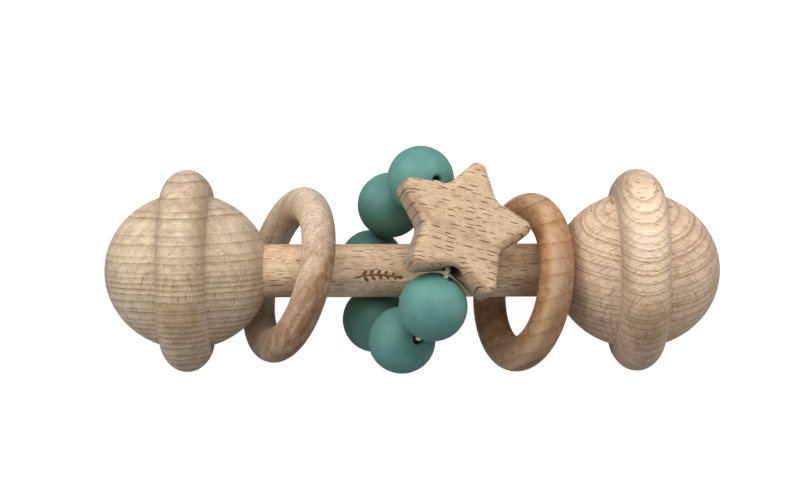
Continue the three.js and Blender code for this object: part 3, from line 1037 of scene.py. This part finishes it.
def star_layers():
    """Closed rows of points, from the back face's middle over the side to the front's."""
    flat = star_outline(STAR_EDGE)
    # (inset, z) of the rounded front edge, which meets the face at a slight crease
    shoulder = STAR_HALF - STAR_RISE
    end = math.radians(73)
    edge = []
    for i in range(EDGE_STEPS + 1):
        angle = end * i / EDGE_STEPS
        edge.append((STAR_EDGE * (1 - math.cos(angle)) / (1 - math.cos(end)),
                     shoulder + STAR_RISE * math.sin(angle) / math.sin(end)))
    side = [(0.0, z) for z in np.linspace(-shoulder, shoulder, 9)[1:-1]]
    face = []
    for share in FACE_ROWS:
        points = flat * share
        face.append((points, STAR_HALF + face_drop(points, flat)))
    layers = [np.c_[points, -z] for points, z in reversed(face)]
    for inset, z in [(inset, -z) for inset, z in reversed(edge)] + side + edge:
        points = star_outline(inset)
        near_face = abs(abs(z) - STAR_HALF) < 1.6
        drop = face_drop(points, flat) if near_face else np.zeros(len(points))
        amount = max(0.0, (abs(z) - (STAR_HALF - STAR_EDGE)) / STAR_EDGE)
        layers.append(np.c_[points, z + math.copysign(1, z) * drop * amount])
    return layers + [np.c_[points, z] for points, z in face]


def tip_direction(k):
    angle = STAR_TURN + math.radians(72 * k)
    return np.array([math.cos(angle), math.sin(angle), 0])


def build_drill():
    """The hole's shape, with softened mouths and long ends that clear the star."""
    mouth = [
        (-30, 0), (-30, 2.4), (-HOLE_HALF - 1.2, 2.4), (-HOLE_HALF - 0.5, 2.05),
        (-HOLE_HALF + 0.1, 1.8), (-HOLE_HALF + 0.6, 1.66), (-HOLE_HALF + 1.1, HOLE_R)]
    middle = [(u, HOLE_R) for u in (-4, 0, 4)]
    verts, faces = revolve(mouth + middle + [(-u, r) for u, r in reversed(mouth)], 48)
    return make_object("drill", verts @ frame_from_axis(HOLE_AXIS).T + HOLE_MID, faces)


def build_star():
    layers = star_layers()
    around = len(layers[0])
    faces = tube_faces(len(layers), around)
    verts = np.concatenate(layers + [[(0, 0, -STAR_HALF), (0, 0, STAR_HALF)]])
    back = len(verts) - 2
    last = (len(layers) - 1) * around
    for k in range(around):
        k2 = (k + 1) % around
        faces.append((k2, k, back))
        faces.append((last + k, last + k2, back + 1))
    for k, cut in enumerate(STAR_CUTS):
        if cut:
            direction = tip_direction(k)
            reach = verts @ direction
            ease = 0.09  # softness of the cut, mm
            bend = np.log1p(np.exp(np.clip((cut - reach) / ease, -60, 60)))
            shift = cut - ease * bend - reach
            verts += shift[:, None] * direction * (reach > cut - 0.6)[:, None]
    verts += unevenness(verts, 0.03, 12, 77) * np.array([1, 1, 0.35])
    ob = make_object("star_beech", verts @ STAR_FRAME.T + STAR_CENTRE, faces)
    drill = build_drill()
    hole = ob.modifiers.new("hole", "BOOLEAN")
    hole.operation = "DIFFERENCE"
    hole.solver = "EXACT"
    hole.object = drill
    apply_modifiers(ob)
    bpy.data.objects.remove(drill)
    return ob


def apply_modifiers(ob):
    depsgraph = bpy.context.evaluated_depsgraph_get()
    depsgraph.update()
    mesh = bpy.data.meshes.new_from_object(ob.evaluated_get(depsgraph))
    old = ob.data
    ob.modifiers.clear()
    ob.data = mesh
    bpy.data.meshes.remove(old)
    for polygon in mesh.polygons:
        polygon.use_smooth = True
    mesh.set_sharp_from_angle(angle=math.radians(40))


def star_wood():
    turn = math.radians(-9.0)  # of the fibres, in the star's plane
    flat_tip = STAR_FRAME @ (STAR_CUTS[3] * tip_direction(3))
    hole_mouth = HOLE_MID - HOLE_AXIS * 8.9 + STAR_X * 0.9 - STAR_CENTRE
    return wood(
        "beech_star", fibre=math.cos(turn) * STAR_X + math.sin(turn) * STAR_Y,
        growth=STAR_NORMAL + 0.10 * STAR_Y, origin=STAR_CENTRE,
        light=srgb(226, 195, 162), dark=srgb(198, 163, 130),
        line=srgb(142, 100, 66), ray=srgb(110, 70, 42), gain=(0.98, 1.02, 1.05),
        spacing=2.6, line_strength=0.35, halo=0.12,
        ray_size=(3.3, 0.98, 12.0), ray_half=(0.85, 1.5), ray_thick=0.12,
        ray_strength=0.92, ray_share=0.88, ray_randomness=0.7,
        streak=0.7, mottle=0.5, fleck=0.35, grit=0.6, seed=4.0, warp=0.22,
        end_grain=0.8, end_rays=0.75,
        spots=(
            dict(where=flat_tip, radius=3.2, tint=srgb(190, 174, 160), share=0.8),
            # Painted shade: a dark spot round the mouth of the cord's hole.
            dict(where=hole_mouth, radius=3.0, tint=srgb(60, 42, 30), share=0.92),
        ))


# ------------------------------------------------------------------ beads
BEAD_R, BORE_R, MOUTH = 7.5, 1.12, 0.55  # ball, its hole, and the rounding of the hole's mouths
MOUTH_SINK = 0.09  # the ball is a little flatter round its hole


def bead_place(i):
    """The centre of bead i and the direction of its hole."""
    joint = JOINTS["bead_%d_spin" % i]
    return point_of(joint), unit(joint["axis"])


def build_bead(i):
    centre, axis = bead_place(i)
    mouth_angle = math.asin((BORE_R + MOUTH) / BEAD_R)
    bore_end = BEAD_R * math.cos(mouth_angle) - MOUTH_SINK - MOUTH
    profile = []
    for angle in np.linspace(mouth_angle, math.pi - mouth_angle, 72):
        from_mouth = min(angle, math.pi - angle) - mouth_angle
        radius = BEAD_R - MOUTH_SINK * math.exp(-((from_mouth / 0.22) ** 2))
        profile.append((-radius * math.cos(angle), radius * math.sin(angle)))
    lip = [
        (-(bore_end + MOUTH * math.cos(angle)), BORE_R + MOUTH - MOUTH * math.sin(angle))
        for angle in np.linspace(0, math.pi / 2, 7)[1:-1]]
    profile += [(-u, r) for u, r in lip]
    profile += [(u, BORE_R) for u in np.linspace(bore_end, -bore_end, 9)]
    profile += lip[::-1]
    verts, faces = revolve(profile, 96, closed=True)
    verts = verts @ frame_from_axis(axis).T
    verts = verts + unevenness(verts, 0.03, 14, 40 + i, sink=0.03)
    return make_object("bead_%d_silicone" % i, verts + centre, faces)


# ------------------------------------------------------------------ cord
STRAND_R, STRAND_OFFSET = 0.345, 0.33  # strand radius, and its centre's distance from the cord's
STRAND_TWIST, STRAND_STEP = 1.9, 2.094  # radians per mm, and between the three strands
KNOT_COIL_R, KNOT_LENGTH, KNOT_TURNS = 0.78, 3.0, 3


def cord_stops():
    """(place, direction) where the cord is held: through the beads from 6 to 1 and the star."""
    top = HOLE_MID + HOLE_AXIS * HOLE_HALF
    low = HOLE_MID - HOLE_AXIS * HOLE_HALF
    stops = [
        (HOLE_MID - HOLE_AXIS, -HOLE_AXIS),
        (low - STAR_X * 0.45 + HOLE_AXIS * 1.2, -HOLE_AXIS)]
    # between beads 6 and 5 the cord leaves the middle of the holes
    sink = np.array([0.32, 0.25, -0.17])
    entry_shift = {6: STAR_X * -0.3, 5: sink}
    exit_shift = {6: sink}
    reach = BEAD_R - 1.7
    for i in range(6, 0, -1):
        centre, axis = bead_place(i)
        along = -axis
        stops.append((centre - along * reach + entry_shift.get(i, 0), along))
        if i > 1:
            stops.append((centre + along * reach + exit_shift.get(i, 0), along))
    # out of the first bead it hugs the hole's side nearest the star, then enters the star
    into = unit(top - HOLE_AXIS * 1.4 - (centre + along * (BEAD_R - 2.0)))
    lean = unit(into - np.dot(into, along) * along)
    stops.append((centre + along * (BEAD_R - 2.6) + lean * 0.3, unit(along + 0.15 * lean)))
    stops.append((top - HOLE_AXIS * 0.9 - STAR_NORMAL * 0.6,
                  unit(-HOLE_AXIS + 0.5 * unit(top - centre))))
    stops.append((HOLE_MID + HOLE_AXIS, -HOLE_AXIS))
    return stops


def cord_path():
    """Points about 0.16 mm apart on smooth curves between the stops."""
    path = []
    stops = cord_stops()
    for (start, leaving), (end, arriving) in zip(stops, stops[1:]):
        gap = float(np.linalg.norm(end - start))
        handle = gap * 0.38
        pull, push = start + leaving * handle, end - arriving * handle
        steps = max(10, int(gap / 0.16))
        for k in range(1 if path else 0, steps + 1):
            s = k / steps
            rest = 1 - s
            path.append(rest**3 * start + 3 * rest**2 * s * pull
                        + 3 * rest * s * s * push + s**3 * end)
    return np.array(path)


def sweep(path, radius, twist=0.0, offset=0.0, phase=0.0):
    """A ten-sided closed tube along a path, or one strand of a twist if offset is above 0."""
    sides = 10
    tangents = unit_rows(np.gradient(path, axis=0))
    normals = [unit(np.cross(tangents[0], (0.3, 0.2, 0.9)))]
    for tangent in tangents[1:]:
        normals.append(unit(normals[-1] - np.dot(normals[-1], tangent) * tangent))
    normals = np.array(normals)
    steps = np.linalg.norm(np.diff(path, axis=0), axis=1)
    angles = (phase + twist * np.concatenate([[0], np.cumsum(steps)]))[:, None]
    around = np.cos(angles) * normals + np.sin(angles) * np.cross(tangents, normals)
    centres = path + offset * around
    tangents = unit_rows(np.gradient(centres, axis=0))
    verts = []
    for centre, tangent, normal in zip(centres, tangents, normals):
        across = unit(normal - np.dot(normal, tangent) * tangent)
        up = np.cross(tangent, across)
        for k in range(sides):
            angle = 2 * math.pi * k / sides
            verts.append(centre + radius * (math.cos(angle) * across + math.sin(angle) * up))
    faces = tube_faces(len(path), sides)
    for row in (0, len(path) - 1):
        middle = len(verts)
        verts.append(centres[row])
        for k in range(sides):
            faces.append((row * sides + k, row * sides + (k + 1) % sides, middle))
    return np.array(verts), faces


def build_cord():
    path = cord_path()
    parts = [
        sweep(path, STRAND_R, STRAND_TWIST, STRAND_OFFSET, phase=STRAND_STEP * k)
        for k in range(3)]
    # the knot: close turns round an oval core, inside the star's hole
    to_hole = frame_from_axis(HOLE_AXIS).T
    share = np.linspace(0, 1, 140)
    turn = share * ROUNDED_TURN * KNOT_TURNS
    coil = np.stack([KNOT_COIL_R * np.cos(turn), KNOT_COIL_R * np.sin(turn),
                     (share - 0.5) * KNOT_LENGTH], axis=1)
    parts.append(sweep(coil @ to_hole + HOLE_MID, 0.5))
    core, core_faces = revolve(
        [(1.9 * -math.cos(a), 0.75 * math.sin(a)) for a in np.linspace(0, math.pi, 13)], 16)
    parts.append((core @ to_hole + HOLE_MID, core_faces))
    return make_object("cord_twisted", *join(parts))


# ------------------------------------------------------------------ the pieces
dress(build_shaft(), "shaft", "handle", shaft_wood())
dress(build_head("left_head_turned", -1, seed=3),
      "left_head", "handle", left_head_wood())
dress(build_head("right_head_turned", 1, seed=8),
      "right_head", "handle", right_head_wood())
dress(build_ring("left_ring", seed=21),
      "left_ring", "left_ring", left_ring_wood())
dress(build_ring("right_ring", seed=22),
      "right_ring", "right_ring", right_ring_wood())
dress(build_star(), "star", "star", star_wood())
for i in range(1, 7):
    node = "bead_%d" % i
    dress(build_bead(i), node, node,
          silicone("silicone_%d" % i, bead_place(i)[0], float(i)))
dress(build_cord(), "cord", "loop", cotton("cotton_cord"))


# ------------------------------------------------------------------ floor
FLOOR_HALF = 1.6  # metres
FLOOR_GAP = 0.00002  # metres below the lowest point


def floor_material():
    """Glows near white to the camera, but is a plain grey to every other ray."""
    net = NodeNet("floor_pale")
    light_path = net.new("ShaderNodeLightPath")
    seen = net.new("ShaderNodeBsdfDiffuse")
    seen.inputs["Color"].default_value = (0.2, 0.2, 0.2, 1)
    glow = net.new("ShaderNodeEmission")
    glow.inputs["Color"].default_value = (1, 1, 1, 1)
    glow.inputs["Strength"].default_value = 0.95
    both = net.new("ShaderNodeAddShader")
    net.put(both.inputs[0], seen.outputs[0])
    net.put(both.inputs[1], glow.outputs[0])
    unseen = net.new("ShaderNodeBsdfDiffuse")
    unseen.inputs["Color"].default_value = (0.34, 0.33, 0.33, 1)
    pick = net.new("ShaderNodeMixShader")
    net.put(pick.inputs[0], light_path.outputs["Is Camera Ray"])
    net.put(pick.inputs[1], unseen.outputs[0])
    net.put(pick.inputs[2], both.outputs[0])
    return net.output(pick)


scene = bpy.context.scene
floor_mesh = bpy.data.meshes.new("floor")
floor_mesh.from_pydata(
    [(x * FLOOR_HALF, y * FLOOR_HALF, 0) for x, y in ((-1, -1), (1, -1), (1, 1), (-1, 1))],
    [], [(0, 1, 2, 3)])
floor = bpy.data.objects.new("floor", floor_mesh)
scene.collection.objects.link(floor)
floor.location = (0, 0, CAD_BOX[0][2] - FLOOR_GAP)
floor_mesh.materials.append(floor_material())

# ------------------------------------------------------------------ light
world = bpy.data.worlds.new("studio")
world.use_nodes = True
background = world.node_tree.nodes["Background"]
background.inputs[0].default_value = (1.0, 1.0, 1.0, 1)
background.inputs[1].default_value = 0.05
scene.world = world

LAMP_POWER = 10.3  # watts, shared out below
LAMP_HALF_ANGLE = math.radians(16.0)  # as seen from one metre away
COOL, NEUTRAL = (0.95, 1.0, 1.12), (1.0, 1.02, 1.05)
# degrees off the vertical, degrees from +X towards +Y, share of the power, colour
LAMPS = (
    (28, 60, 0.113, NEUTRAL), (28, 120, 0.116, NEUTRAL),
    (52, 45, 0.355, NEUTRAL), (52, 90, 0.222, NEUTRAL),
    (52, 135, 0.241, NEUTRAL), (52, 180, 0.197, NEUTRAL),
    (76, 0, 0.249, NEUTRAL), (76, 135, 0.123, NEUTRAL), (76, 180, 0.109, NEUTRAL),
    (76, 225, 0.06, COOL), (76, 270, 0.18, COOL),
)


def add_lamp(name, tilt, turn, power, colour):
    """A round soft box one metre from the origin and facing it."""
    tilt, turn = math.radians(tilt), math.radians(turn)
    direction = Vector((
        math.sin(tilt) * math.cos(turn), math.sin(tilt) * math.sin(turn), math.cos(tilt)))
    light = bpy.data.lights.new(name, "AREA")
    light.shape = "DISK"
    light.size = 2 * math.tan(LAMP_HALF_ANGLE)
    light.energy = power
    light.color = colour
    ob = bpy.data.objects.new(name, light)
    ob.location = direction
    ob.rotation_euler = (-direction).to_track_quat("-Z", "Y").to_euler()
    ob.visible_camera = False
    scene.collection.objects.link(ob)


for i, (tilt, turn, share, colour) in enumerate(LAMPS):
    add_lamp("soft_%d" % i, tilt, turn, LAMP_POWER * share, colour)

# ------------------------------------------------------------------ camera
CAMERA_HEIGHT = 0.420  # metres above the handle's axis
CAMERA_X = -0.006264

camera = bpy.data.cameras.new("camera")
camera.sensor_width = 36.0
camera.sensor_fit = "HORIZONTAL"
camera.lens = 84.0294
camera.shift_x = 0.02
camera.shift_y = 0.033125
camera.clip_start = 0.01
camera.clip_end = 10
camera_ob = bpy.data.objects.new("camera", camera)
camera_ob.location = (CAMERA_X, AXIS[1] * MM, AXIS[2] * MM + CAMERA_HEIGHT)
camera_ob.rotation_euler = (0, 0, math.radians(-0.18))
scene.collection.objects.link(camera_ob)
scene.camera = camera_ob

scene.view_settings.view_transform = "Standard"
scene.view_settings.look = "None"
scene.view_settings.exposure = 0.0
scene.view_settings.gamma = 0.82
